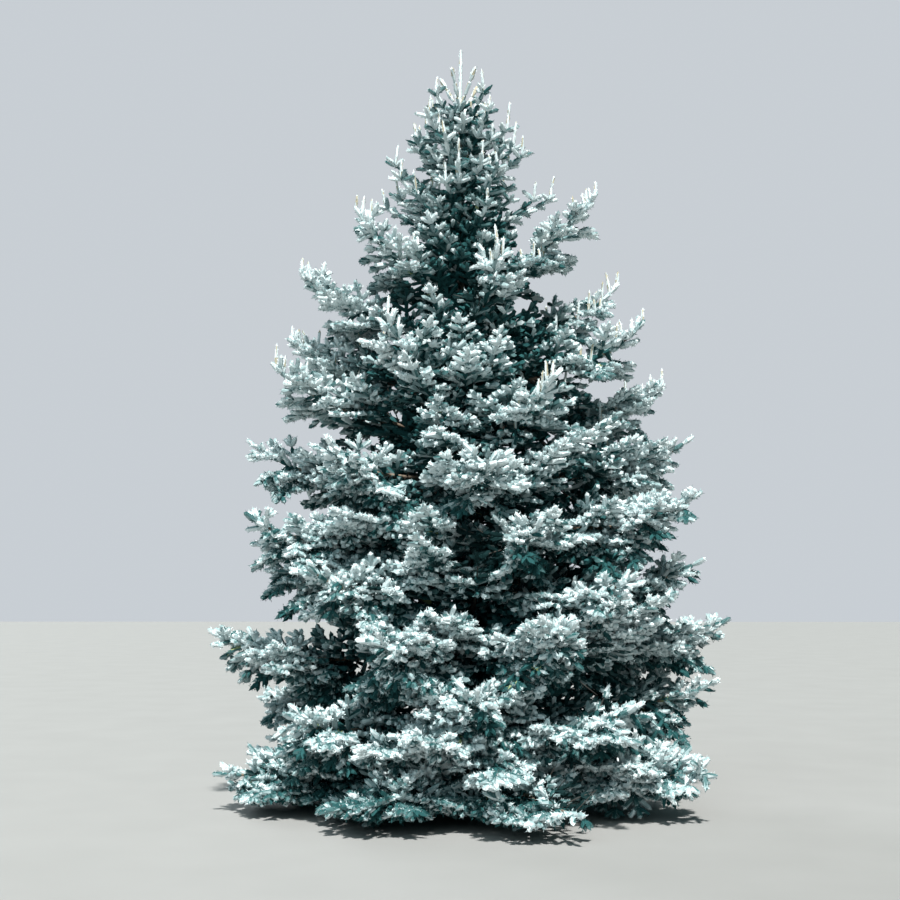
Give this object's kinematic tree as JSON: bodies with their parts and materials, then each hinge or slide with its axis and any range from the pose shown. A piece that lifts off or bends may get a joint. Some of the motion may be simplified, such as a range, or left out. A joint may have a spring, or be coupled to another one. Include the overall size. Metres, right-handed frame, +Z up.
{
  "type": "colorado blue spruce tree",
  "caption": "Open-grown blue spruce, rooted in level ground, with tiers of blue-grey needle foliage from the ground up to an upright leader.",
  "frame": {"origin": "centre of the trunk's flat cut at ground level", "axes": "+Z up along the trunk to the leader, -Y to the side that the picture shows, +X to the picture's right"},
  "size_m": [4.1758, 3.8544, 6.11],
  "materials": {
    "bark": "rough",
    "needles": "matt"
  },
  "bodies": {
    "root": {"trunk": "bark", "bough_01_1": "bark", "bough_01_2": "bark", "bough_01_3": "bark", "bough_01_4": "bark", "bough_01_5": "bark", "bough_01_6": "bark", "bough_02_1": "bark", "bough_02_2": "bark", "bough_02_3": "bark", "bough_02_4": "bark", "bough_02_5": "bark", "bough_02_6": "bark", "foliage_01_1": "needles", "foliage_01_2": "needles", "foliage_01_3": "needles", "foliage_01_4": "needles", "foliage_01_5": "needles", "foliage_01_6": "needles", "foliage_02_1": "needles", "foliage_02_2": "needles", "foliage_02_3": "needles", "foliage_02_4": "needles", "foliage_02_5": "needles", "foliage_02_6": "needles", "foliage_03_1": "needles", "foliage_03_2": "needles", "foliage_03_3": "needles", "foliage_03_4": "needles", "foliage_03_5": "needles", "foliage_04_1": "needles", "foliage_04_2": "needles", "foliage_04_3": "needles", "foliage_04_4": "needles", "foliage_04_5": "needles", "foliage_05_1": "needles", "foliage_05_2": "needles", "foliage_05_3": "needles", "foliage_05_4": "needles", "foliage_05_5": "needles", "foliage_06_1": "needles", "foliage_06_2": "needles", "foliage_06_3": "needles", "foliage_06_4": "needles", "foliage_06_5": "needles", "foliage_07_1": "needles", "foliage_07_2": "needles", "foliage_07_3": "needles", "foliage_07_4": "needles", "foliage_08_1": "needles", "foliage_08_2": "needles", "foliage_08_3": "needles", "foliage_08_4": "needles", "foliage_09_1": "needles", "foliage_09_2": "needles", "foliage_09_3": "needles", "foliage_10_1": "needles", "foliage_10_2": "needles", "foliage_10_3": "needles", "foliage_top": "needles"}
  },
  "joints": []
}
